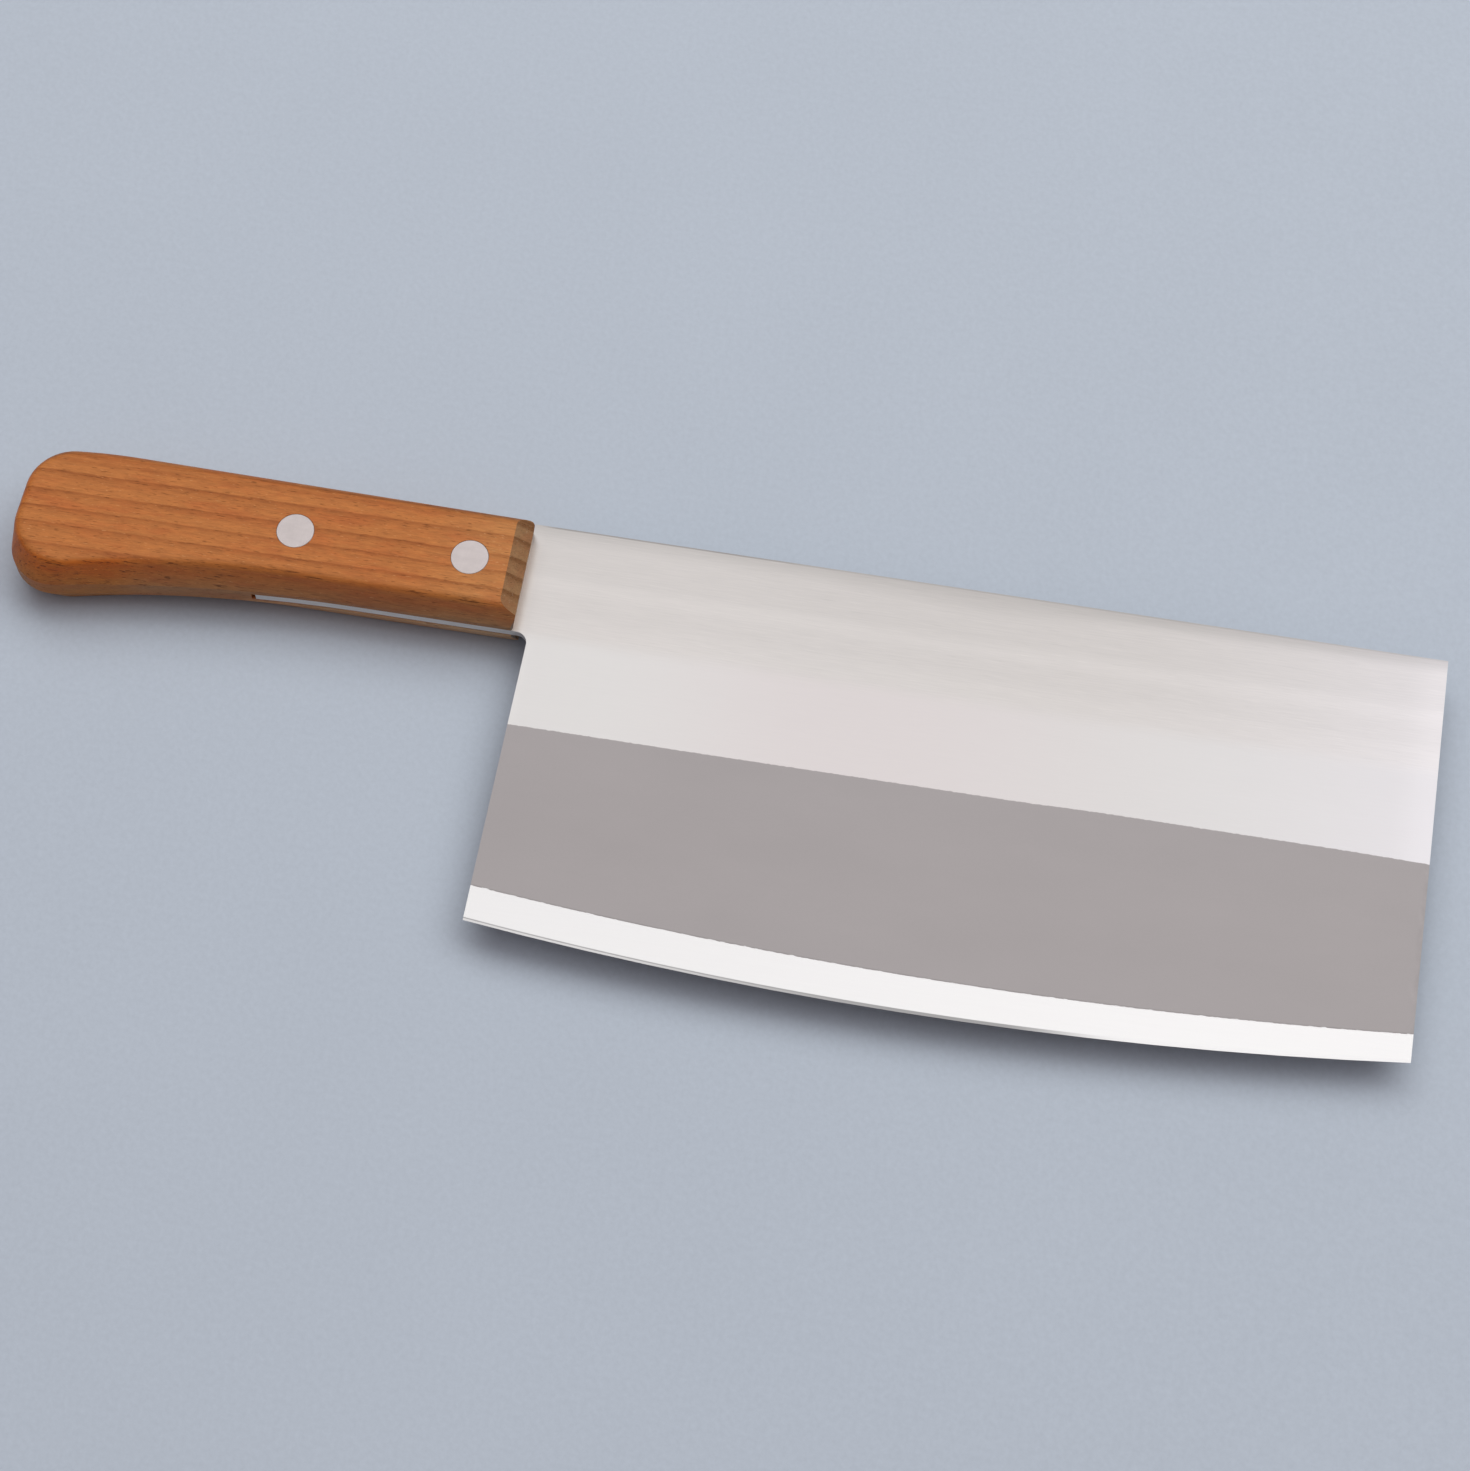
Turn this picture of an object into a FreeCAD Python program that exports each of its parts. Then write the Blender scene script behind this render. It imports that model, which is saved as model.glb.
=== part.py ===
import FreeCAD, Part
import math
import os

# A chinese cleaver lying on its left side. A three-ply blade has its tang in a saw slot of a
# one-piece wooden handle, and two cutler's rivets hold it there.
# Lengths are in millimetres and angles in degrees.
# While it is drawn, X runs from the handle's front towards the toe, Y from the cutting edge towards
# the spine with zero on the spine, and Z through the thickness with zero in the middle of the blade.
# Depths are measured from the spine towards the cutting edge.

# Blade outline
blade_reach = 223.8
toe_height = 103.4
belly_height = 110.7
heel_height = 105.1
heel_setback = 4.0
heel_lean = 0.7
choil_radius = 3.0

# Plies and grinds
core_thickness = 0.7
cladding_thickness = 0.7
ridge_depth = 54.0
heel_band = 8.75
belly_band = 8.95
toe_band = 6.85
edge_bevel_height = 0.8
edge_bevel_thickness = 0.24

# Tang
tang_top_depth = 7.5
tang_tail = 7.7
tang_corner_radius = 2.0

# Handle outline
handle_length = 125.0
handle_thickness = 19.0
top_depth = 2.6
top_rise = 0.64
crown_reach = 27.0
crown_radius = 144.0
butt_corner_radius = 11.6
underside_depth = 29.7
flare_start = 38.0
beak_drop = 7.1
beak_radius = 11.0
butt_lean = 2.5

# Handle edges
underside_flat = 4.8
facet_width = 2.6
facet_flare_start = 58.0
facet_beak_rise = 3.3
facet_beak_radius = 13.0
butt_draft = 0.7
side_rounding = 2.6
front_rim = 0.75
front_chamfer = 3.95
front_chamfer_depth = 2.9
front_corner_radius = 0.9
front_underside_chamfer = 1.2

# Slot for the tang
slot_clearance = 0.05
slot_top_gap = 0.3
slot_end_gap = 1.0

# Rivets
rivet_setback = 12.7
rivet_spacing = 43.1
rivet_depth = 15.9
rivet_head_diameter = 9.2
rivet_head_thickness = 2.0
rivet_head_edge = 0.1
rivet_tube_diameter = 5.6
rivet_pin_diameter = 3.8
rivet_end_gap = 1.0
rivet_clearance = 0.05
rivet_pin_clearance = 0.02

# Stock left on blanks and cutters for trimming, and how near two places count as one
spare_stock = 12.0
touching = 1e-6

# Worked out from the sizes above
blade_thickness = core_thickness + 2 * cladding_thickness
core_face = core_thickness / 2
blade_face = blade_thickness / 2
handle_face = handle_thickness / 2
slot_face = blade_face + slot_clearance
tang_length = rivet_setback + rivet_spacing + tang_tail
beak_depth = underside_depth + beak_drop
rivet_seat = handle_face - rivet_head_thickness


def point(x, y, z=0.0):
    return FreeCAD.Vector(x, y, z)


def line(start, end):
    return Part.LineSegment(start, end).toShape()


def arc_through(start, middle, end):
    return Part.Arc(start, middle, end).toShape()


def arc_about(centre, start, end):
    # The shorter arc about a centre.
    outward = (start - centre) + (end - centre)
    middle = centre + outward.normalize() * (start - centre).Length
    return arc_through(start, middle, end)


def lifted(edge, height):
    copy = edge.copy()
    copy.translate(point(0, 0, height))
    return copy


def flat_face(edges):
    return Part.Face(Part.Wire(edges))


def polygon_face(corners):
    return Part.Face(Part.makePolygon(corners + corners[:1]))


def closed_solid(faces):
    shell = Part.Shell(faces)
    shell.sewShape()
    solid = Part.Solid(shell)
    if solid.Volume < 0:
        solid.reverse()
    return solid


def cylinder(radius, low, high, centre):
    return Part.makeCylinder(radius, high - low, point(centre.x, centre.y, low))


def flare_arc(start, centre, radius):
    # Radius and centre of the arc that leaves a level line at start and curves down to touch a circle.
    offset = start - centre
    flare = (offset.Length ** 2 - radius ** 2) / (2 * (radius + offset.y))
    return flare, start - point(0, flare)


def along_line(start, direction, centre, distance):
    # Where a line that leaves start in a direction comes to a distance from a centre.
    offset = start - centre
    climb = direction.dot(offset)
    reach = math.sqrt(climb ** 2 - offset.Length ** 2 + distance ** 2) - climb
    return start + direction * reach


# Rivet places, front one first
rivet_centres = {
    "front": point(-rivet_setback, -rivet_depth),
    "rear": point(-rivet_setback - rivet_spacing, -rivet_depth),
}

# The underside's flare: an arc that leaves the flat run and meets the beak's rounding smoothly
beak_centre = point(beak_radius - handle_length, beak_radius - beak_depth)
flare_from = point(-flare_start, -underside_depth)
flare_radius, flare_centre = flare_arc(flare_from, beak_centre, beak_radius)


def heel_point(depth):
    # A point on the heel's side, which leans back towards the edge.
    lean = (depth - underside_depth) * math.tan(math.radians(heel_lean))
    return point(heel_setback - lean, -depth)


def edge_line(heel_rise, belly_rise, toe_rise):
    # An arc from heel to toe, raised from the cutting edge by these heights.
    heel = heel_point(heel_height - heel_rise)
    toe = point(blade_reach, toe_rise - toe_height)
    belly = point((heel.x + toe.x) / 2, belly_rise - belly_height)
    return arc_through(heel, belly, toe)


def lamination_line():
    return edge_line(heel_band, belly_band, toe_band)


def ends_of(edge):
    return edge.Vertexes[0].Point, edge.Vertexes[-1].Point


def tang_underside(front, tail):
    # The tang's lower edge, flush with the handle's underside, and the point where it ends.
    if tail > -flare_start:
        end = point(tail, front.y)
        return [line(front, end)], end
    drop = flare_radius - math.sqrt(flare_radius ** 2 - (tail + flare_start) ** 2)
    end = point(tail, front.y - drop)
    return [line(front, flare_from), arc_about(flare_centre, flare_from, end)], end


def ply_outline(lower_edge):
    # Spine, toe, a lower edge given from heel to toe, heel, choil and tang, as one face at Z zero.
    heel, toe = ends_of(lower_edge)
    choil_top = heel_point(underside_depth + choil_radius)
    choil_centre = point(choil_top.x - choil_radius, choil_top.y)
    choil_end = point(choil_centre.x, -underside_depth)
    tang_high = -tang_top_depth
    tail = -tang_length
    round_x = tail + tang_corner_radius
    high_centre = point(round_x, tang_high - tang_corner_radius)
    underside, tail_low = tang_underside(choil_end, tail)
    return flat_face([
        line(point(0, 0), point(blade_reach, 0)),
        line(point(blade_reach, 0), toe),
        lower_edge,
        line(heel, choil_top),
        arc_about(choil_centre, choil_top, choil_end),
        *underside,
        line(tail_low, point(tail, high_centre.y)),
        arc_about(high_centre, point(tail, high_centre.y), point(round_x, tang_high)),
        line(point(round_x, tang_high), point(0, tang_high)),
        line(point(0, tang_high), point(0, 0)),
    ])


def drilled(ply):
    # The rivets' tubes pass through the tang.
    hole_radius = rivet_tube_diameter / 2 + rivet_clearance
    for centre in rivet_centres.values():
        ply = ply.cut(cylinder(hole_radius, -blade_thickness, blade_thickness, centre))
    return ply


def blade_core():
    # A slab down to the lamination line, then a wedge to the fine bevel and to the cutting edge.
    top = lamination_line()
    slab = ply_outline(top).extrude(point(0, 0, core_thickness))
    slab.translate(point(0, 0, -core_face))
    bevel = edge_line(edge_bevel_height, edge_bevel_height, edge_bevel_height)
    edge = edge_line(0, 0, 0)
    bevel_face = edge_bevel_thickness / 2
    faces = [Part.makeRuledSurface(lifted(top, core_face), lifted(top, -core_face))]
    for side in (1, -1):
        upper = lifted(top, side * core_face)
        middle = lifted(bevel, side * bevel_face)
        faces.append(Part.makeRuledSurface(upper, middle))
        faces.append(Part.makeRuledSurface(middle, edge))
    for top_end, bevel_end, edge_end in zip(ends_of(top), ends_of(bevel), ends_of(edge)):
        to_face = point(0, 0, core_face)
        to_bevel = point(0, 0, bevel_face)
        faces.append(polygon_face([
            top_end + to_face, bevel_end + to_bevel, edge_end, bevel_end - to_bevel, top_end - to_face,
        ]))
    wedge = closed_solid(faces)
    return drilled(slab.fuse(wedge).removeSplitter())


def cladding(side):
    # A slab down to the ridge, then ground thin until the core comes out at the lamination line.
    ridge_heel = heel_point(ridge_depth)
    ridge_toe = point(blade_reach, -ridge_depth)
    ridge = line(ridge_heel, ridge_toe)
    slab = ply_outline(ridge).extrude(point(0, 0, cladding_thickness))
    rise = point(0, 0, cladding_thickness)
    border = lamination_line()
    border_heel, border_toe = ends_of(border)
    wedge = closed_solid([
        flat_face([ridge, line(ridge_toe, border_toe), border, line(border_heel, ridge_heel)]),
        Part.makeRuledSurface(lifted(ridge, cladding_thickness), border),
        polygon_face([ridge_heel, ridge_toe, ridge_toe + rise, ridge_heel + rise]),
        polygon_face([ridge_heel, ridge_heel + rise, border_heel]),
        polygon_face([ridge_toe, ridge_toe + rise, border_toe]),
    ])
    ply = slab.fuse(wedge).removeSplitter()
    ply.translate(point(0, 0, core_face))
    if side < 0:
        ply = ply.mirror(point(0, 0, 0), point(0, 0, 1))
    return drilled(ply)


def handle_outline(height, inset, beak_rise, butt_inset, turn_radius, run_end):
    # The handle's side view at a height, with the underside, the beak and the butt moved in. The
    # underside runs straight back to run_end, then flares down to the beak's rounding.
    slope = math.radians(top_rise)
    lean = math.radians(butt_lean)
    top_front = point(spare_stock, -top_depth - spare_stock * math.tan(slope))
    top_run = handle_length - crown_reach
    crown_from = point(-top_run, top_run * math.tan(slope) - top_depth)
    crown_centre = crown_from + point(-math.sin(slope), -math.cos(slope)) * crown_radius
    butt_inward = point(math.cos(lean), -math.sin(lean))
    butt_up = point(math.sin(lean), math.cos(lean))

    butt = beak_centre - butt_inward * (beak_radius - butt_inset)
    corner_start = butt + butt_inward * butt_corner_radius
    corner_gap = crown_radius - butt_corner_radius
    corner_centre = along_line(corner_start, butt_up, crown_centre, corner_gap)
    crown_to = crown_centre + (corner_centre - crown_centre) * (crown_radius / corner_gap)
    butt_top = corner_centre - butt_inward * butt_corner_radius

    turn_start = butt + butt_inward * turn_radius
    turn_height = turn_radius + beak_rise - beak_depth
    turn_centre = turn_start + butt_up * ((turn_height - turn_start.y) / butt_up.y)
    butt_low = turn_centre - butt_inward * turn_radius
    under_rear = point(-run_end, inset - underside_depth)
    under_front = point(spare_stock, inset - underside_depth)
    radius, centre = flare_arc(under_rear, turn_centre, turn_radius)
    flare_to = turn_centre + (centre - turn_centre) * (turn_radius / (radius + turn_radius))
    edges = [
        line(top_front, crown_from),
        arc_about(crown_centre, crown_from, crown_to),
        arc_about(corner_centre, crown_to, butt_top),
        line(butt_top, butt_low),
        arc_about(turn_centre, butt_low, flare_to),
        arc_about(centre, flare_to, under_rear),
        line(under_rear, under_front),
        line(under_front, top_front),
    ]
    return Part.Wire([lifted(edge, height) for edge in edges])


def side_edges(body):
    # The edges round the two side faces, all but those at the front.
    found = []
    for edge in body.Edges:
        middle = edge.valueAt((edge.FirstParameter + edge.LastParameter) / 2)
        on_side = all(abs(abs(vertex.Z) - handle_face) < touching for vertex in edge.Vertexes)
        if on_side and middle.x < spare_stock - touching:
            found.append(edge)
    return found


def handle_blank():
    flat_half = underside_flat / 2
    middle_shape = (0, 0, 0, beak_radius, flare_start)
    side_shape = (facet_width, facet_beak_rise, butt_draft, facet_beak_radius, facet_flare_start)
    body = Part.makeLoft([
        handle_outline(-handle_face, *side_shape),
        handle_outline(-flat_half, *middle_shape),
        handle_outline(flat_half, *middle_shape),
        handle_outline(handle_face, *side_shape),
    ], True, True)
    body = body.removeSplitter()
    return body.makeFillet(side_rounding, side_edges(body))


def front_trim():
    # The front end in plan: flat behind the blade, then out to a rim and a chamfer along each side.
    chamfer_from = handle_face - front_chamfer_depth
    back = -2 * handle_length
    beyond = handle_face + spare_stock
    slope = front_chamfer / front_chamfer_depth
    outer = front_rim - front_chamfer - spare_stock * slope
    corners = [
        point(0, 0, slot_face),
        point(front_rim, 0, chamfer_from),
        point(outer, 0, beyond),
        point(back, 0, beyond),
        point(back, 0, -beyond),
        point(outer, 0, -beyond),
        point(front_rim, 0, -chamfer_from),
        point(0, 0, -slot_face),
    ]
    face = polygon_face(corners)
    face.translate(point(0, -2 * beak_depth))
    return face.extrude(point(0, 4 * beak_depth))


def front_corner_cut():
    # What the rounding of the front's upper corner takes away.
    start_x = front_rim - front_corner_radius
    top_y = -top_depth - start_x * math.tan(math.radians(top_rise))
    centre = point(start_x, top_y - front_corner_radius)
    start = point(start_x, top_y)
    end = point(front_rim, centre.y)
    face = flat_face([
        arc_about(centre, start, end),
        line(end, point(spare_stock, end.y)),
        line(point(spare_stock, end.y), point(spare_stock, spare_stock)),
        line(point(spare_stock, spare_stock), point(start.x, spare_stock)),
        line(point(start.x, spare_stock), start),
    ])
    face.translate(point(0, 0, -handle_thickness))
    return face.extrude(point(0, 0, 2 * handle_thickness))


def front_underside_cut():
    corner = point(front_rim, -underside_depth)
    face = polygon_face([
        corner + point(0, front_underside_chamfer),
        corner + point(-front_underside_chamfer, 0),
        corner + point(-front_underside_chamfer, -spare_stock),
        corner + point(spare_stock, -spare_stock),
        corner + point(spare_stock, front_underside_chamfer),
    ])
    face.translate(point(0, 0, -handle_thickness))
    return face.extrude(point(0, 0, 2 * handle_thickness))


def tang_slot():
    rear = -tang_length - slot_end_gap
    low = -2 * beak_depth
    high = slot_top_gap - tang_top_depth
    return Part.makeBox(spare_stock - rear, high - low, 2 * slot_face, point(rear, low, -slot_face))


def handle():
    body = handle_blank().common(front_trim())
    body = body.cut(front_corner_cut()).cut(front_underside_cut()).cut(tang_slot())
    hole_radius = rivet_tube_diameter / 2 + rivet_clearance
    seat_radius = rivet_head_diameter / 2 + rivet_clearance
    outside = handle_face + spare_stock
    for centre in rivet_centres.values():
        body = body.cut(cylinder(hole_radius, -outside, outside, centre))
        body = body.cut(cylinder(seat_radius, rivet_seat, outside, centre))
        body = body.cut(cylinder(seat_radius, -outside, -rivet_seat, centre))
    return body.removeSplitter()


def rivet_head(centre):
    # A flat head on the right side, flush with the wood, with its rim broken.
    head = cylinder(rivet_head_diameter / 2, rivet_seat, handle_face, centre)
    rim = [edge for edge in head.Edges if edge.BoundBox.ZMin > rivet_seat + rivet_head_edge]
    return head.makeChamfer(rivet_head_edge, rim)


def rivet_pin(centre):
    # The solid half, headed on the right side.
    pin = cylinder(rivet_pin_diameter / 2, rivet_end_gap - rivet_seat, rivet_seat, centre)
    return rivet_head(centre).fuse(pin).removeSplitter()


def rivet_tube(centre):
    # The tubular half, headed on the left side, with a blind bore for the pin.
    head = rivet_head(centre).mirror(point(0, 0, 0), point(0, 0, 1))
    tube = cylinder(rivet_tube_diameter / 2, -rivet_seat, rivet_seat - rivet_end_gap, centre)
    bore = cylinder(rivet_pin_diameter / 2 + rivet_pin_clearance, -rivet_seat, rivet_seat, centre)
    return head.fuse(tube.cut(bore)).removeSplitter()


def lowest_edge_depth():
    # The cutting edge's deepest point, at the foot of its arc.
    circle = edge_line(0, 0, 0).Curve
    return circle.Radius - circle.Center.y


pieces = {
    "blade_core": blade_core(),
    "right_cladding": cladding(1),
    "left_cladding": cladding(-1),
    "handle": handle(),
}
for place, centre in rivet_centres.items():
    pieces[place + "_rivet_pin"] = rivet_pin(centre)
    pieces[place + "_rivet_tube"] = rivet_tube(centre)

# The finished frame has its origin under the middle of the whole cleaver, on the handle's left side.
to_origin = point((handle_length - blade_reach) / 2, lowest_edge_depth() / 2, handle_face)
os.makedirs("parts", exist_ok=True)
for name, shape in pieces.items():
    shape.translate(to_origin)
    print(name, "solids", len(shape.Solids), "valid", shape.isValid(), "volume", round(shape.Volume, 2))
    shape.exportStep(os.path.join("parts", name + ".step"))
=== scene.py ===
import math
import bpy
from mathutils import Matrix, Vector

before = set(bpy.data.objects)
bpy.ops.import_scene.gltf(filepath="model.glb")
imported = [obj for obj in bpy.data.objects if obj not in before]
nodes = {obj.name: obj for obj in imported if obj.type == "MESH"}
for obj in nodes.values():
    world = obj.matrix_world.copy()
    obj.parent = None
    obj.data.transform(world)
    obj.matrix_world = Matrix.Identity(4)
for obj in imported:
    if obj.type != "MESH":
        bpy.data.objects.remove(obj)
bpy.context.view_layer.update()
mm = 0.001  # lengths in the settings are millimetres, and the scene is in metres
half = 0.5  # the middle of a noise, which runs from 0 to 1
print("frame loaded:", len(nodes), "nodes")


class Term:  # one shader socket, so that maths on it reads as Python
    def __init__(self, owner, socket):
        self.owner = owner
        self.socket = socket

    def calc(self, operation, *others):
        return self.owner.node("Math", {"operation": operation}, [self, *others])

    def __add__(self, other):
        return self.calc("ADD", other)

    __radd__ = __add__

    def __sub__(self, other):
        return self.calc("SUBTRACT", other)

    def __rsub__(self, other):
        return self.owner.node("Math", {"operation": "SUBTRACT"}, [other, self])

    def __mul__(self, other):
        return self.calc("MULTIPLY", other)

    __rmul__ = __mul__

    def __truediv__(self, other):
        return self.calc("DIVIDE", other)

    def __rtruediv__(self, other):
        return self.owner.node("Math", {"operation": "DIVIDE"}, [other, self])

    def __pow__(self, other):
        return self.calc("POWER", other)

    def __rpow__(self, other):
        return self.owner.node("Math", {"operation": "POWER"}, [other, self])


class NodeTree:  # the nodes of a material or a world
    def __init__(self, tree):
        self.tree = tree
        self.tree.nodes.clear()

    def node(self, kind, settings=None, sockets=None, out=0):
        made = self.tree.nodes.new("ShaderNode" + kind)
        for key, value in (settings or {}).items():
            setattr(made, key, value)
        pairs = sockets.items() if isinstance(sockets, dict) else enumerate(sockets or [])
        for key, value in pairs:
            if isinstance(value, Term):
                self.tree.links.new(value.socket, made.inputs[key])
            else:
                made.inputs[key].default_value = value
        return Term(self, made.outputs[out]) if made.outputs else None

    def split(self, vector):
        outputs = self.node("SeparateXYZ", None, [vector]).socket.node.outputs
        return [Term(self, outputs[axis]) for axis in "XYZ"]

    def step(self, value, low, high):
        # Goes softly from 0 at low to 1 at high, and fade goes the other way.
        return self.node("MapRange", {"interpolation_type": "SMOOTHSTEP"},
                         {"Value": value, "From Min": low, "From Max": high})

    def fade(self, value, low, high):
        return 1 - self.step(value, low, high)

    def mix(self, share, first, second, blend="MIX"):
        return self.node("Mix", {"data_type": "RGBA", "blend_type": blend},
                         {0: share, 6: first, 7: second}, out=2)  # its colour sockets

    def tint(self, share, colour, factors):
        return self.mix(share, colour, factors, "MULTIPLY")

    def shade(self, colour, value):
        # Multiplies a colour by a value that is near 1.
        grey = self.node("CombineColor", None, [value, value, value])
        return self.tint(1.0, colour, grey)


class Finish(NodeTree):  # a material that reads places in millimetres
    def __init__(self, name):
        self.material = bpy.data.materials.new(name)
        self.material.use_nodes = True
        super().__init__(self.material.node_tree)
        spot = self.node("TexCoord", out="Object")
        self.place = self.node("VectorMath", {"operation": "SCALE"},
                               {"Vector": spot, "Scale": 1 / mm})
        self.x, self.y, self.z = self.split(self.place)

    def noise(self, sizes, detail=2.0, roughness=0.5, shift=0.0):
        # Sizes are a fleck's length along the knife, its height and its depth.
        scale = tuple(1 / size for size in sizes)
        where = self.node("VectorMath", {"operation": "MULTIPLY_ADD"},
                          [self.place, scale, (shift,) * 3])
        sockets = {"Vector": where, "Scale": 1.0, "Detail": detail, "Roughness": roughness}
        return self.node("TexNoise", None, sockets)

    def facing(self):
        return self.split(self.node("TexCoord", out="Normal"))

    def aboveArc(self, arc):
        across = self.x - arc["x"]
        down = self.y - arc["y"]
        return arc["radius"] - (across * across + down * down).calc("SQRT")

    def bump(self, height, depth):
        return self.node("Bump", None,
                         {"Strength": 1.0, "Distance": depth * mm, "Height": height})

    def surface(self, sockets):
        shader = self.node("BsdfPrincipled", None, sockets)
        self.node("OutputMaterial", None, {"Surface": shader})
        return self.material


def paint(red, green, blue):
    # A colour as a screen shows it, from 0 to 255, made linear.
    shares = [value / 255 for value in (red, green, blue)]
    linear = [s / 12.92 if s <= 0.04045 else ((s + 0.055) / 1.055) ** 2.4 for s in shares]
    return (*linear, 1.0)


def arcThrough(a, b, c):
    # The circle through three points of a curve on the blade.
    (ax, ay), (bx, by), (cx, cy) = a, b, c
    turn = 2 * (ax * (by - cy) + bx * (cy - ay) + cx * (ay - by))
    aa, bb, cc = (p[0] ** 2 + p[1] ** 2 for p in (a, b, c))
    x = (aa * (by - cy) + bb * (cy - ay) + cc * (ay - by)) / turn
    y = (aa * (cx - bx) + bb * (ax - cx) + cc * (bx - ax)) / turn
    return {"x": x, "y": y, "radius": math.hypot(ax - x, ay - y)}


bladeLook = {
    "spine": 55.35,
    "ridge": 1.35,  # where the flat meets the matte ground band
    "heel": -46.2,
    "toe": 174.4,
    "lamination": [(-46.21, -41.0), (64.09, -46.4), (174.4, -41.2)],
    "cuttingEdge": [(-46.32, -49.75), (64.04, -55.35), (174.4, -48.05)],
    "metal": 0.7,  # the rest of the light is scattered by the fine scratches
    "downwardShadeTone": 0.75,  # painted shade on faces that look down, such as the tang's lower edge, which shows in the handle's slot
    "tangFacing": (0.5, 0.9),  # how far down a face looks as it takes that painted shade
}
laminationArc = arcThrough(*bladeLook["lamination"])
edgeArc = arcThrough(*bladeLook["cuttingEdge"])


def fromHeel(low, high):
    return bladeLook["heel"] + low, bladeLook["heel"] + high


def fromToe(low, high):
    return bladeLook["toe"] + low, bladeLook["toe"] + high


def aboutRidge(blur):
    return bladeLook["ridge"] - blur, bladeLook["ridge"] + blur


# Painted shade: faces that look down are darkened.
def downwardShade(finish, colour):
    downward = finish.step(0 - finish.facing()[1], *bladeLook["tangFacing"])
    return finish.shade(colour, 1 + (bladeLook["downwardShadeTone"] - 1) * downward)


matteLook = {
    "colour": paint(187, 181, 180),
    "roughness": 0.58,
    "tone": 0.93,
    "grain": {"sizes": (0.5, 0.3, 0.3), "detail": 3.0, "roughness": 0.6, "shift": 3.0},
    "grainTone": 0.06,
    "cloud": {"sizes": (34.0, 14.0, 14.0), "detail": 3.0, "roughness": 0.6, "shift": 9.0},
    "cloudTone": 0.08,
    "worn": {"sizes": (2.0, 4.0, 4.0), "detail": 3.0, "roughness": 0.6, "shift": 21.0},
    "wornMiddle": 0.55,
    "wornTone": 0.4,
    "wornLine": (-0.9, 1.7),  # from the toe
    "ragged": {"sizes": (8.0, 5.0, 5.0), "shift": 10.0},  # moves the worn line to and fro
    "raggedReach": 3.0,
}


def matteGround(finish):
    # The ground band: even and fine-grained, with faint clouds and a worn line at the toe.
    look = matteLook
    grain = finish.noise(**look["grain"])
    cloud = finish.noise(**look["cloud"])
    worn = finish.noise(**look["worn"]) - look["wornMiddle"]
    ragged = finish.x + look["raggedReach"] * finish.noise(**look["ragged"])
    toeEdge = finish.step(ragged, *fromToe(*look["wornLine"]))
    tone = look["tone"] + look["grainTone"] * grain + look["cloudTone"] * cloud
    tone = tone + look["wornTone"] * toeEdge * worn
    return finish.shade(look["colour"], tone)


flatLook = {
    "colour": paint(214, 211, 208),
    "warmColour": paint(206, 201, 197),  # the upper half
    "blushColour": paint(214, 207, 205),  # the middle of the lower half
    "blushStarts": (14.0, 74.0),  # from the heel
    "blushEnds": (-130.0, -45.0),  # from the toe
    "toeColour": paint(214, 210, 214),
    "toeShare": 0.65,
    "toeShareUpper": 0.15,
    "roughness": 0.33,
    "streakRoughness": 0.08,
    # brush marks, the tone that each adds, and what is left of them in the lower half
    "brush": {"sizes": (9.0, 0.35, 0.35), "detail": 4.0, "roughness": 0.65},
    "brushTone": 0.18,
    "streak": {"sizes": (70.0, 1.6, 1.6), "detail": 4.0, "roughness": 0.65, "shift": 5.0},
    "streakTone": 0.06,
    "cloud": {"sizes": (38.0, 13.0, 13.0), "detail": 3.0, "roughness": 0.6, "shift": 22.0},
    "cloudTone": 0.04,
    "scratch": {"sizes": (7.0, 0.3, 0.3), "shift": 20.0},
    "scratchFrom": (0.62, 0.74),
    "scratchTone": 0.05,
    "lowerMarks": 0.22,
    # bands along the blade, by their depth below the spine, which the clouds bend
    "tone": 1.055,
    "bend": 1.8,
    "upperHalf": (27.5, 33.0),
    "paleStarts": (12.0, 15.5),
    "paleEnds": (15.5, 19.5),
    "paleTone": 0.055,
    "lowBand": (21.5, 26.5),
    "lowTone": 0.037,
    "highBand": (12.0, 20.0),
    "highShade": 0.03,
    # painted shade: the dark band by the spine, deeper at the middle of the blade and shallow at
    # the far end
    "spineAbove": 1.5,
    "spineBelow": 5.5,
    "spineShade": 0.21,
    "middle": (60.0, 110.0),  # from the heel
    "middleDeeper": 3.0,
    "far": (110.0, 150.0),  # from the heel
    "farLower": 2.0,
    "farShallower": 4.0,
    # a painted shadow line on the spine, by its depth and then from the heel
    "spineShadowLine": (0.25, 0.5),
    "lineStarts": (-3.0, 3.0),
    "lineFades": (46.0, 76.0),
    "lineFaded": 0.6,
    "lineShade": 0.3,
    # painted highlights: paler ends, a bright rim at the heel, and painted light beside the
    # handle
    "toeHighlight": 94.0,  # how far it reaches from the toe
    "toeHighlightPower": 1.9,
    "toeHighlightTone": 0.09,
    "toeHighlightToneUpper": 0.05,
    "toeEndHighlight": (-11.0, -1.0),  # from the toe
    "toeEndHighlightTone": 0.06,
    "heelHighlight": (20.0, 90.0),  # from the heel
    "heelHighlightTone": 0.042,
    "rim": (0.0, 3.6),  # from the heel
    "rimDepth": (28.0, 31.0),
    "rimTone": 0.03,
    "paintedLightByTheHandle": (-4.0, 0.5),  # from the heel
    "handleTop": (0.5, 9.0),
    "handleFoot": (28.0, 33.0),
    "handleLightTone": 0.5,
}


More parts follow.
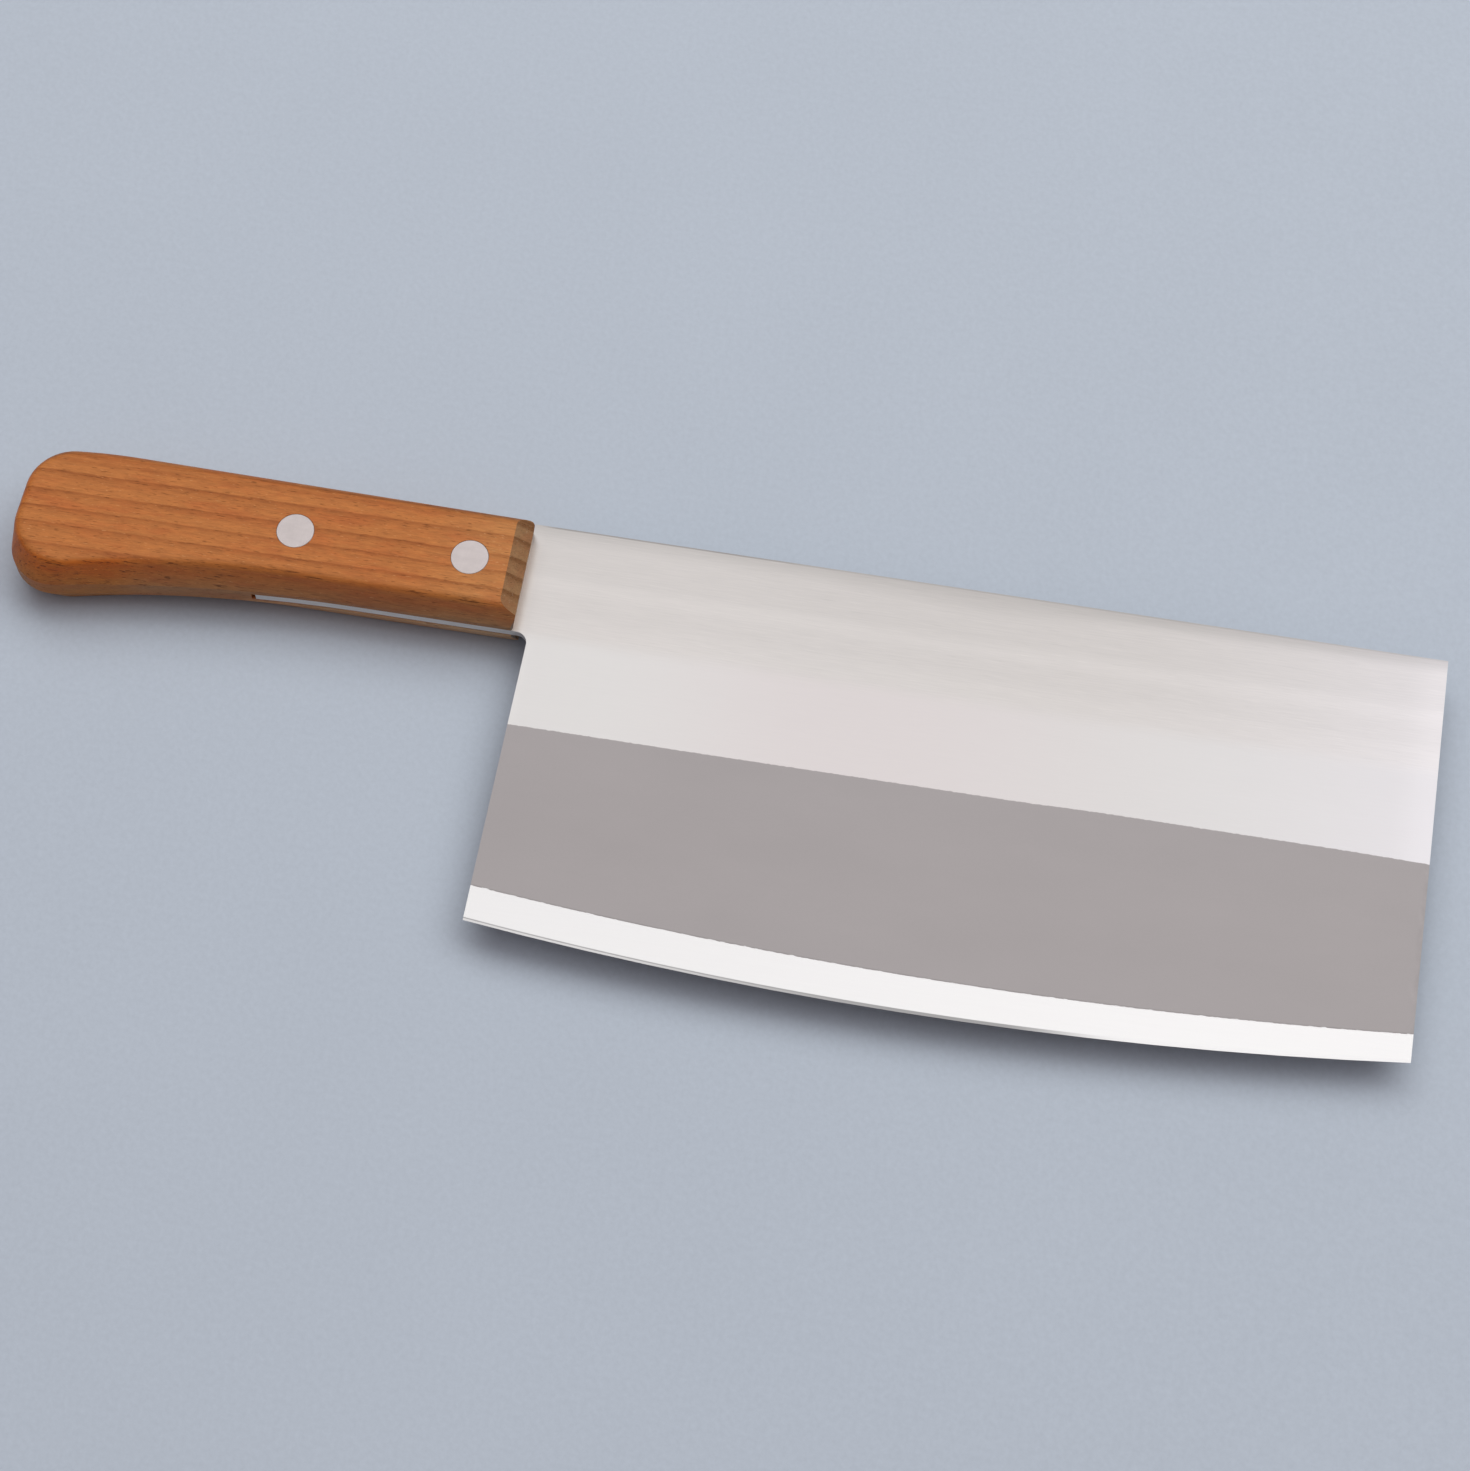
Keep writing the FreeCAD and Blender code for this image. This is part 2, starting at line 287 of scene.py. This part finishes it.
def brushedFlat(finish):
    # The flat: brushed in bands along the blade, with painted shade that makes it darkest by the
    # spine and painted highlights that make it paler towards the toe.
    look = flatLook
    depth = bladeLook["spine"] - finish.y
    brush = finish.noise(**look["brush"])
    streak = finish.noise(**look["streak"])
    cloud = finish.noise(**look["cloud"])
    scratch = finish.noise(**look["scratch"])
    bent = depth + look["bend"] * (cloud - half)
    upper = finish.fade(bent, *look["upperHalf"])
    paleBand = finish.step(bent, *look["paleStarts"]) * finish.fade(bent, *look["paleEnds"])
    lowBand = upper * finish.step(bent, *look["lowBand"])
    highBand = finish.fade(bent, *look["highBand"])
    tone = look["tone"] + look["paleTone"] * paleBand + look["lowTone"] * lowBand
    tone = tone - look["highShade"] * highBand

    middle = finish.step(finish.x, *fromHeel(*look["middle"]))
    far = finish.step(finish.x, *fromHeel(*look["far"]))
    start = look["farLower"] * far - look["spineAbove"]
    end = look["spineBelow"] + look["middleDeeper"] * middle - look["farShallower"] * far
    # painted shade: darker by the spine
    shadeByTheSpine = finish.fade(depth, start, end)
    # painted shadow line along the spine
    spineShadowLine = finish.fade(depth, *look["spineShadowLine"])
    spineShadowLine = spineShadowLine * finish.step(finish.x, *fromHeel(*look["lineStarts"]))
    lineFades = finish.step(finish.x, *fromHeel(*look["lineFades"]))
    spineShadowLine = spineShadowLine * (1 - look["lineFaded"] * lineFades)
    tone = tone - look["spineShade"] * shadeByTheSpine - look["lineShade"] * spineShadowLine

    # painted highlight: paler towards the toe and most in its last few millimetres; the toe's
    # tint is mixed in by the same mask
    toeHighlight = (finish.x - bladeLook["toe"] + look["toeHighlight"]) / look["toeHighlight"]
    toeHighlight = toeHighlight.calc("MAXIMUM", 0.0) ** look["toeHighlightPower"]
    toeEndHighlight = finish.step(finish.x, *fromToe(*look["toeEndHighlight"]))
    # painted highlight: paler towards the heel
    heelHighlight = finish.fade(finish.x, *fromHeel(*look["heelHighlight"]))
    # painted highlight: a bright rim along the heel's edge, on the lower part of the flat
    rim = finish.fade(finish.x, *fromHeel(*look["rim"])) * finish.step(depth, *look["rimDepth"])
    # painted light: the flat is made paler beside the handle's front, to lift the shade and dark
    # reflection there
    handleDepth = finish.step(depth, *look["handleTop"]) * finish.fade(depth, *look["handleFoot"])
    paintedLightByTheHandle = finish.fade(finish.x, *fromHeel(*look["paintedLightByTheHandle"])) * handleDepth
    tone = tone + toeHighlight * (look["toeHighlightTone"] + look["toeHighlightToneUpper"] * upper)
    tone = tone + look["heelHighlightTone"] * heelHighlight + look["rimTone"] * rim
    tone = tone + look["handleLightTone"] * paintedLightByTheHandle + look["toeEndHighlightTone"] * toeEndHighlight

    lightScratch = finish.step(scratch, *look["scratchFrom"])
    darkScratch = finish.step(1 - scratch, *look["scratchFrom"])
    marks = look["brushTone"] * (brush - half) + look["streakTone"] * (streak - half)
    marks = marks + look["cloudTone"] * (cloud - half)
    marks = marks + look["scratchTone"] * (lightScratch - darkScratch)
    tone = tone + (look["lowerMarks"] + (1 - look["lowerMarks"]) * upper) * marks

    blush = finish.step(finish.x, *fromHeel(*look["blushStarts"]))
    blush = blush * finish.fade(finish.x, *fromToe(*look["blushEnds"]))
    colour = finish.mix(blush, look["colour"], look["blushColour"])
    colour = finish.mix(upper, colour, look["warmColour"])
    toeShare = toeHighlight * (look["toeShare"] - look["toeShareUpper"] * upper)
    colour = finish.mix(toeShare, colour, look["toeColour"])
    rough = look["roughness"] + look["streakRoughness"] * (streak - half)
    return finish.shade(colour, tone), rough, brush


coreLook = {
    "colour": paint(234, 232, 230),
    "roughness": 0.2,
    "brushRoughness": 0.06,
    "tone": 0.95,
    "brush": {"sizes": (20.0, 0.2, 0.2), "detail": 3.0, "roughness": 0.6, "shift": 4.0},
    "brushTone": 0.06,
    "toeHighlightTone": 0.07,
    "bandBlur": (-0.1, 0.05),
    "ridgeBlur": 0.1,
    # the fine bevel, which the mesh doesn't have, painted as shade: its height, where it fades
    # out and how dark it is
    "bevel": 0.8,
    "bevelBlur": 0.06,
    "bevelEnds": (-94.0, -64.0),  # from the toe
    "bevelShade": 0.16,
    "bevelDarker": (16.0, 110.0),  # from the heel
    "bevelDarkerShade": 0.42,
    "bevelLine": (0.34, 0.22),  # below the bevel's top
    "lineShade": 0.2,
    "bevelLineNoise": {"sizes": (3.0, 1.0, 1.0), "detail": 3.0, "roughness": 0.6, "shift": 23.0},
    "bevelLineNoiseShade": 0.3,
    "relief": 0.001,
}


def coreSteel():
    look = coreLook
    finish = Finish("coreSteel")
    brush = finish.noise(**look["brush"])
    # painted highlight: the bright edge band is paler towards the toe
    highlightTowardsToe = finish.step(finish.x, bladeLook["heel"], bladeLook["toe"])
    tone = look["tone"] + look["brushTone"] * brush + look["toeHighlightTone"] * highlightTowardsToe
    bright = finish.shade(look["colour"], tone)

    above = finish.aboveArc(edgeArc)
    bevel = look["bevel"]
    # painted shade for the fine bevel: a darker strip and a dark line along the cutting edge
    strip = finish.fade(above, bevel - look["bevelBlur"], bevel + look["bevelBlur"])
    strip = strip * finish.fade(finish.x, *fromToe(*look["bevelEnds"]))
    lineLow, lineHigh = look["bevelLine"]
    bevelLine = strip * finish.step(above, bevel - lineLow, bevel - lineHigh)
    bevelDarker = finish.step(finish.x, *fromHeel(*look["bevelDarker"]))
    bevelLineNoise = finish.noise(**look["bevelLineNoise"])
    lineShade = bevelLine * (1 - bevelDarker) * (look["lineShade"] + look["bevelLineNoiseShade"] * bevelLineNoise)
    bevelTone = 1 - strip * (look["bevelShade"] + look["bevelDarkerShade"] * bevelDarker) - lineShade
    bright = finish.shade(bright, bevelTone)

    flat = brushedFlat(finish)[0]
    ridge = finish.step(finish.y, *aboutRidge(look["ridgeBlur"]))
    side = finish.mix(ridge, matteGround(finish), flat)
    band = finish.step(0 - finish.aboveArc(laminationArc), *look["bandBlur"])
    colour = downwardShade(finish, finish.mix(band, side, bright))
    brightRough = look["roughness"] - half * look["brushRoughness"]
    brightRough = brightRough + look["brushRoughness"] * brush
    rough = matteLook["roughness"] + band * (brightRough - matteLook["roughness"])
    return finish.surface({"Base Color": colour, "Metallic": bladeLook["metal"],
                           "Roughness": rough, "Normal": finish.bump(brush, look["relief"])})


claddingLook = {
    # the ridge is ground by hand: it starts low, rises twice and drops at the toe
    "ridgeLow": 0.28,
    "ridgeRise": 0.26,
    "riseAlong": (36.0, 126.0),  # from the heel
    "ridgeHump": 0.38,
    "humpAlong": (-98.0, -78.0),  # from the toe
    "ridgeDrop": 0.28,
    "dropAlong": (-24.0, 4.0),  # from the toe
    "wobble": {"sizes": (1.1, 50.0, 50.0), "roughness": 0.6, "shift": 2.0},
    "wobbleReach": 0.5,
    "ridgeBlur": 0.09,
    # the lamination line: a dark seam, with chips where the core shows through
    "seam": (0.1, 0.55),
    "seamShade": 0.2,
    "chips": {"sizes": (1.1, 0.6, 0.6), "detail": 3.0, "roughness": 0.65, "shift": 7.0},
    "chipMiddle": 0.48,
    "chipReach": 0.9,
    "chipBlur": (0.0, 0.08),
    "pits": {"sizes": (0.4, 0.25, 0.25), "roughness": 0.6},
    "pitHeight": 0.5,
    "relief": 0.0015,
}


def claddingSteel():
    look = claddingLook
    finish = Finish("claddingSteel")
    flat, flatRough, brush = brushedFlat(finish)
    wander = look["ridgeRise"] * finish.step(finish.x, *fromHeel(*look["riseAlong"]))
    wander = wander - look["ridgeLow"]
    wander = wander + look["ridgeHump"] * finish.step(finish.x, *fromToe(*look["humpAlong"]))
    wander = wander - look["ridgeDrop"] * finish.step(finish.x, *fromToe(*look["dropAlong"]))
    wobble = finish.noise(**look["wobble"])
    level = finish.y - wander + look["wobbleReach"] * (wobble - half)
    ridge = finish.step(level, *aboutRidge(look["ridgeBlur"]))

    above = finish.aboveArc(laminationArc)
    seam = finish.fade(above, *look["seam"])
    matte = finish.shade(matteGround(finish), 1 - look["seamShade"] * seam)
    chips = finish.noise(**look["chips"]) - look["chipMiddle"]
    shown = finish.fade(above - look["chipReach"] * chips, *look["chipBlur"])
    matte = finish.mix(shown, matte, coreLook["colour"])
    colour = downwardShade(finish, finish.mix(ridge, matte, flat))
    matteRough = matteLook["roughness"]
    matteRough = matteRough + shown * (coreLook["roughness"] - matteRough)
    rough = matteRough + ridge * (flatRough - matteRough)
    pits = finish.noise(**look["pits"])
    height = ridge * brush + (1 - ridge) * look["pitHeight"] * pits
    return finish.surface({"Base Color": colour, "Metallic": bladeLook["metal"],
                           "Roughness": rough, "Normal": finish.bump(height, look["relief"])})


rivetLook = {
    "colour": paint(208, 198, 195),
    "metal": 0.7,
    "roughness": 0.36,
    "scratchRoughness": 0.12,
    "tone": 0.76,
    "scratch": {"sizes": (5.0, 0.14, 0.14), "detail": 3.0, "roughness": 0.65, "shift": 1.0},
    "scratchTone": 0.14,
    "cross": {"sizes": (0.18, 3.0, 3.0), "detail": 3.0, "roughness": 0.65, "shift": 8.0},
    "crossTone": 0.1,
    "crossHeight": 0.6,
    "cloud": {"sizes": (3.0, 2.0, 2.0), "shift": 6.0},
    "cloudTone": 0.24,
    "relief": 0.002,
}


def rivetSteel():
    look = rivetLook
    finish = Finish("rivetSteel")
    scratch = finish.noise(**look["scratch"])
    cross = finish.noise(**look["cross"])
    cloud = finish.noise(**look["cloud"])
    tone = look["tone"] + look["scratchTone"] * scratch + look["crossTone"] * cross
    tone = tone + look["cloudTone"] * cloud
    rough = look["roughness"] - half * look["scratchRoughness"]
    rough = rough + look["scratchRoughness"] * scratch
    height = scratch + look["crossHeight"] * cross
    return finish.surface({"Base Color": finish.shade(look["colour"], tone),
                           "Metallic": look["metal"], "Roughness": rough,
                           "Normal": finish.bump(height, look["relief"])})


woodLook = {
    "light": paint(184, 113, 58),
    "red": paint(180, 102, 51),
    "line": paint(150, 82, 36),
    "pore": paint(88, 43, 17),
    "fleck": paint(212, 152, 98),
    "roughness": 0.5,
    "specular": 0.25,
    "coat": 0.05,
    "coatRoughness": 0.3,
    "relief": 0.03,
    # growth lines: the first one's height, the spacing below it, and how they stray
    "firstLine": 46.95,
    "pitch": 4.99,
    "slope": 0.005,
    "lastLine": 25.5,
    "lastLineBlur": 3.0,
    "uneven": 0.1,
    "unevenTurn": math.pi / 2,
    "slow": {"sizes": (80.0, 20.0, 20.0), "shift": 11.0},
    "quick": {"sizes": (7.0, 4.0, 4.0), "detail": 3.0, "roughness": 0.55, "shift": 12.0},
    "quickReach": 0.7,
    "jagged": {"sizes": (2.0, 2.0, 2.0), "roughness": 0.6, "shift": 24.0},
    "jaggedReach": 0.35,
    "lineFade": math.exp(-5.0),  # what is left of a line at the next one
    "lineStart": (0.91, 1.0),
    "lineDepth": 0.25,
    "strength": {"sizes": (22.0, 6.0, 6.0), "detail": 3.0, "roughness": 0.6, "shift": 13.0},
    "weakest": 0.15,
    "strengthSpread": 1.25,
    "belowLast": 0.25,
    "underLess": 0.85,
    "endMore": 0.9,
    "strongest": 1.3,
    # one more line by the back, which slopes more
    "upperLine": 51.3,
    "upperSlope": 0.011,
    "upperStarts": (-1.1, -0.2),
    "upperEnds": (0.2, 1.2),
    "upperStrength": 0.6,
    # figure between the lines
    "hue": {"sizes": (16.0, 3.5, 3.5), "detail": 3.0, "roughness": 0.6, "shift": 19.0},
    "hueFrom": (0.42, 0.72),
    "tone": 0.35,
    "fibre": {"sizes": (4.5, 0.36, 0.36), "detail": 4.0, "roughness": 0.75, "shift": 14.0},
    "fibreTone": 0.85,
    "fibreRoughness": 0.1,
    "fibreHeight": 0.5,
    "mottle": {"sizes": (3.2, 1.1, 1.1), "detail": 4.0, "roughness": 0.65, "shift": 15.0},
    "mottleTone": 0.45,
    "pores": {"sizes": (2.6, 0.28, 0.28), "detail": 1.0, "shift": 16.0},
    "poreFrom": (0.64, 0.74),
    "poreByLine": 0.05,
    "poreShare": 0.55,
    "poreRoughness": 0.15,
    "poreDepth": 0.7,
    "flecks": {"sizes": (1.6, 0.28, 0.28), "detail": 1.0, "shift": 17.0},
    "fleckFrom": (0.68, 0.78),
    "fleckShare": 0.55,
    "gouges": {"sizes": (7.0, 0.45, 0.7), "detail": 3.0, "roughness": 0.6, "shift": 18.0},
    "gougeFrom": (0.59, 0.66),
    "gougeByMottle": 0.05,
    "gougeShare": 0.75,
    "gougeDepth": 0.8,
    # how far a face looks along, up or down as it counts as one of these
    "endFacing": (0.3, 0.5),
    "rimFacing": (0.85, 0.95),
    "topFacing": (0.1, 0.6),
    "lowerFacing": (0.1, 0.5),
    "underFacing": (0.3, 0.75),
    "creaseFacing": (0.3, 0.6),
    "levelFacing": (0.88, 0.96),
    "levelLess": 0.75,
    # what the handle's parts do to the colour
    "frontEnd": -60.0,
    "frontBlur": 1.0,
    "endGrain": (0.61, 0.94, 1.64, 1.0),  # the front's chamfer
    "rimFace": (1.7, 2.2, 3.0, 1.0),  # painted light: what facing the blade adds to it, a paler face for the blade beside it to mirror
    "paintedFrontSheen": (1.04, 1.2, 1.38, 1.0),
    "paintedFrontSheenBlur": (-16.0, 4.0),  # from the front end
    "topEdge": (0.66, 0.68, 0.75, 1.0),
    "buttEnd": (1.03, 0.94, 0.74, 1.0),
    "beak": (1.0, 0.75, 0.34, 1.0),  # the lower end, which curls down behind the hand
    "beakFrom": -150.0,
    "beakBlur": 16.0,
    "crease": (0.9, 0.82, 0.67, 1.0),  # the underside by the side's edge
    "underside": (0.82, 1.22, 2.2, 1.0),  # what the underside's middle adds
    "middleFrom": (10.5, 17.0),  # heights above the side that lies down
    "paintedLightFarHalf": (1.45, 1.65, 2.0, 1.0),  # what the underside beyond the tang adds: painted light, and a greyer colour
    "farFrom": (7.6, 8.6),
    "slotEnd": -118.0,
    "slotBlur": (-4.0, 14.0),  # from the slot's end
}


def growthLines(finish, under, frontGrain):
    look = woodLook
    quick = finish.noise(**look["quick"])
    stray = look["quickReach"] * (quick - half)
    slow = finish.noise(**look["slow"])
    jagged = finish.noise(**look["jagged"])
    height = finish.y - look["slope"] * finish.x + (slow - half) + stray
    height = height + look["jaggedReach"] * (jagged - half)
    even = (look["firstLine"] - height) / look["pitch"]
    count = even - look["uneven"] * (even * look["unevenTurn"]).calc("SINE")
    part = count.calc("FRACT")
    late = look["lineFade"] ** part
    late = late.calc("MAXIMUM", finish.step(part, *look["lineStart"]))
    rise = finish.y - look["upperSlope"] * finish.x - look["upperLine"] + stray
    upperLine = finish.step(rise, *look["upperStarts"]) * finish.fade(rise, *look["upperEnds"])
    late = late.calc("MAXIMUM", look["upperStrength"] * upperLine)

    strength = finish.noise(**look["strength"])
    side = finish.step(finish.y, look["lastLine"] - look["lastLineBlur"], look["lastLine"])
    late = late * (look["weakest"] + look["strengthSpread"] * strength)
    late = late * (look["belowLast"] + (1 - look["belowLast"]) * side)
    late = late * (1 - look["underLess"] * under)
    return (late * (1 + frontGrain)).calc("MINIMUM", look["strongest"])


def handleWood():
    look = woodLook
    finish = Finish("handleWood")
    along, up, _ = finish.facing()
    endOn = finish.step(along.calc("ABSOLUTE"), *look["endFacing"])
    front = finish.step(finish.x, look["frontEnd"], look["frontEnd"] + look["frontBlur"])
    under = finish.step(0 - up, *look["underFacing"])
    late = growthLines(finish, under, look["endMore"] * endOn * front)

    fibre = finish.noise(**look["fibre"])
    mottle = finish.noise(**look["mottle"])
    hue = finish.noise(**look["hue"])
    pores = finish.noise(**look["pores"])
    pore = finish.step(pores + look["poreByLine"] * late, *look["poreFrom"])
    fleck = finish.step(finish.noise(**look["flecks"]), *look["fleckFrom"])
    level = finish.step(0 - up, *look["levelFacing"])
    crease = finish.step(0 - up, *look["creaseFacing"]) * (1 - look["levelLess"] * level)
    gouges = finish.noise(**look["gouges"]) + look["gougeByMottle"] * (mottle - half)
    gouge = finish.step(gouges, *look["gougeFrom"]) * crease

    colour = finish.mix(finish.step(hue, *look["hueFrom"]), look["light"], look["red"])
    colour = finish.mix(late, colour, look["line"])
    tone = look["tone"] + look["fibreTone"] * fibre + look["mottleTone"] * mottle
    colour = finish.shade(colour, tone)
    colour = finish.mix(look["poreShare"] * pore, colour, look["pore"])
    colour = finish.mix(look["gougeShare"] * gouge, colour, look["pore"])
    colour = finish.mix(look["fleckShare"] * fleck, colour, look["fleck"])

    # painted sheen: paler wood near the front end
    frontLow, frontHigh = look["paintedFrontSheenBlur"]
    paintedFrontSheen = finish.step(finish.x, look["frontEnd"] + frontLow, look["frontEnd"] + frontHigh)
    colour = finish.tint(paintedFrontSheen * (1 - endOn), colour, look["paintedFrontSheen"])
    colour = finish.tint(finish.step(up, *look["topFacing"]), colour, look["topEdge"])
    colour = finish.tint(endOn * front, colour, look["endGrain"])
    # painted light: the rim face beside the blade is made paler
    colour = finish.tint(finish.step(along, *look["rimFacing"]) * front, colour, look["rimFace"])

    rear = endOn * (1 - front)
    lower = finish.step(0 - up, *look["lowerFacing"])
    beak = finish.fade(finish.x, look["beakFrom"], look["beakFrom"] + look["beakBlur"])
    colour = finish.tint(rear * (1 - lower), colour, look["buttEnd"])
    colour = finish.tint((rear * lower).calc("MAXIMUM", beak * under), colour, look["beak"])
    colour = finish.tint(under * (1 - beak), colour, look["crease"])
    middle = under * finish.fade(finish.z, *look["middleFrom"])
    colour = finish.tint(middle, colour, look["underside"])
    slotLow, slotHigh = look["slotBlur"]
    alongTang = finish.step(finish.x, look["slotEnd"] + slotLow, look["slotEnd"] + slotHigh)
    # painted light: the underside beyond the tang is made paler, and greyer
    paintedLightFarHalf = under * alongTang * finish.fade(finish.z, *look["farFrom"])
    colour = finish.tint(paintedLightFarHalf, colour, look["paintedLightFarHalf"])

    rough = look["roughness"] - half * look["fibreRoughness"]
    rough = rough + look["fibreRoughness"] * fibre + look["poreRoughness"] * pore
    height = look["fibreHeight"] * fibre - look["poreDepth"] * pore
    height = height - look["gougeDepth"] * gouge - look["lineDepth"] * late
    return finish.surface({"Base Color": colour, "Roughness": rough,
                           "Specular IOR Level": look["specular"], "Coat Weight": look["coat"],
                           "Coat Roughness": look["coatRoughness"],
                           "Normal": finish.bump(height, look["relief"])})


finishes = {"blade_core": coreSteel(), "handle": handleWood()}
claddingFinish = claddingSteel()
rivetFinish = rivetSteel()
for name, node in nodes.items():
    if "cladding" in name:
        finishes[name] = claddingFinish
    if "rivet" in name:
        finishes[name] = rivetFinish
    for slot in node.material_slots:
        slot.material = finishes[name]
print("finishes made:", len(set(finishes.values())))


floorLook = {
    # the handle lies on its left side, and the blade stands clear, a little lower at the toe
    "handleRest": (-52.6, 28.85, 0.0),
    "toeHeight": 0.4,
    "size": 40.0,  # metres
    "colour": paint(182, 189, 200),
    "roughness": 0.85,
    "specular": 0.2,
    "tone": 0.89,
    "grain": {"sizes": (1.3, 1.3, 1.3), "detail": 4.0, "roughness": 0.65},
    "grainTone": 0.18,
    "cloud": {"sizes": (60.0, 60.0, 60.0), "shift": 4.0},
    "cloudTone": 0.04,
    "relief": 0.02,
}


def floorPaint():
    look = floorLook
    finish = Finish("floorPaint")
    grain = finish.noise(**look["grain"])
    cloud = finish.noise(**look["cloud"])
    tone = look["tone"] + look["grainTone"] * grain + look["cloudTone"] * cloud
    return finish.surface({"Base Color": finish.shade(look["colour"], tone),
                           "Roughness": look["roughness"], "Specular IOR Level": look["specular"],
                           "Normal": finish.bump(grain, look["relief"])})


def layFloor():
    acrossToe = (bladeLook["ridge"], bladeLook["lamination"][-1][1])
    rests = [floorLook["handleRest"]]
    rests += [(bladeLook["toe"], y, floorLook["toeHeight"]) for y in acrossToe]
    rests = [Vector(p) * mm for p in rests]
    up = (rests[1] - rests[0]).cross(rests[2] - rests[0])
    up = up if up.z > 0 else -up
    turn = Vector((0, 0, 1)).rotation_difference(up).to_euler()
    bpy.ops.object.select_all(action="DESELECT")
    bpy.ops.mesh.primitive_plane_add(size=floorLook["size"], location=rests[0], rotation=turn)
    floor = bpy.context.object
    floor.name = "floor"
    bpy.ops.object.transform_apply(location=True, rotation=True, scale=True)
    floor.data.materials.append(floorPaint())


lightLook = {
    "skyColour": (1.0, 0.88, 0.9, 1.0),
    "skyStrength": 0.23,
    "glowColour": (0.95, 0.975, 1.0, 1.0),
    "glowStrength": 0.95,  # a wide soft glow overhead, which the steel mirrors
    "glowTowards": (0.12, 0.15, 0.98),
    "glowFrom": 0.6,  # cosines from the glow's middle, where it starts and where it is full
    "glowFull": 0.98,
    "boxColour": (0.95, 1.0, 0.985),
    "boxPower": 23.5,
    "boxSize": (3.2, 1.2),  # metres
    "boxDistance": 1.75,
    "boxBearing": 72.0,  # degrees round from the toe towards the spine
    "boxHeight": 62.0,  # degrees up from the floor
}


def lightSky():
    look = lightLook
    world = bpy.data.worlds.new("studio")
    world.use_nodes = True
    sky = NodeTree(world.node_tree)
    aim = sky.node("TexCoord", out="Generated")
    towards = Vector(look["glowTowards"]).normalized()
    near = sky.node("VectorMath", {"operation": "DOT_PRODUCT"}, [aim, towards], out="Value")
    glow = look["glowStrength"] * sky.step(near, look["glowFrom"], look["glowFull"])
    even = sky.node("Background", None,
                    {"Color": look["skyColour"], "Strength": look["skyStrength"]})
    overhead = sky.node("Background", None, {"Color": look["glowColour"], "Strength": glow})
    sky.node("OutputWorld", None, {"Surface": sky.node("AddShader", None, [even, overhead])})
    bpy.context.scene.world = world


def hangSoftBox():
    look = lightLook
    bearing = math.radians(look["boxBearing"])
    height = math.radians(look["boxHeight"])
    towards = Vector((math.cos(height) * math.cos(bearing), math.cos(height) * math.sin(bearing),
                      math.sin(height)))
    bpy.ops.object.light_add(type="AREA", location=towards * look["boxDistance"])
    box = bpy.context.object
    box.name = "softBox"
    box.rotation_euler = towards.to_track_quat("Z", "Y").to_euler()
    box.data.shape = "RECTANGLE"
    box.data.size, box.data.size_y = look["boxSize"]
    box.data.color = look["boxColour"]
    box.data.energy = look["boxPower"]
    box.visible_camera = False
    box.visible_glossy = False  # the steel mirrors only the glow


cameraLook = {
    "lens": 85.0,
    "sensor": 36.0,
    "clipStart": 0.01,  # metres
    "place": (0.0671, -0.3391, 0.7602),  # metres
    "turn": (25.102, 0.0, 9.628),  # degrees
}


def setCamera():
    bpy.ops.object.camera_add(location=cameraLook["place"],
                              rotation=[math.radians(angle) for angle in cameraLook["turn"]])
    camera = bpy.context.object
    camera.name = "camera"
    camera.data.lens = cameraLook["lens"]
    camera.data.sensor_width = cameraLook["sensor"]
    camera.data.clip_start = cameraLook["clipStart"]
    bpy.context.scene.camera = camera
    bpy.context.scene.view_settings.view_transform = "Standard"


layFloor()
lightSky()
hangSoftBox()
setCamera()
print("floor, lights and camera placed")
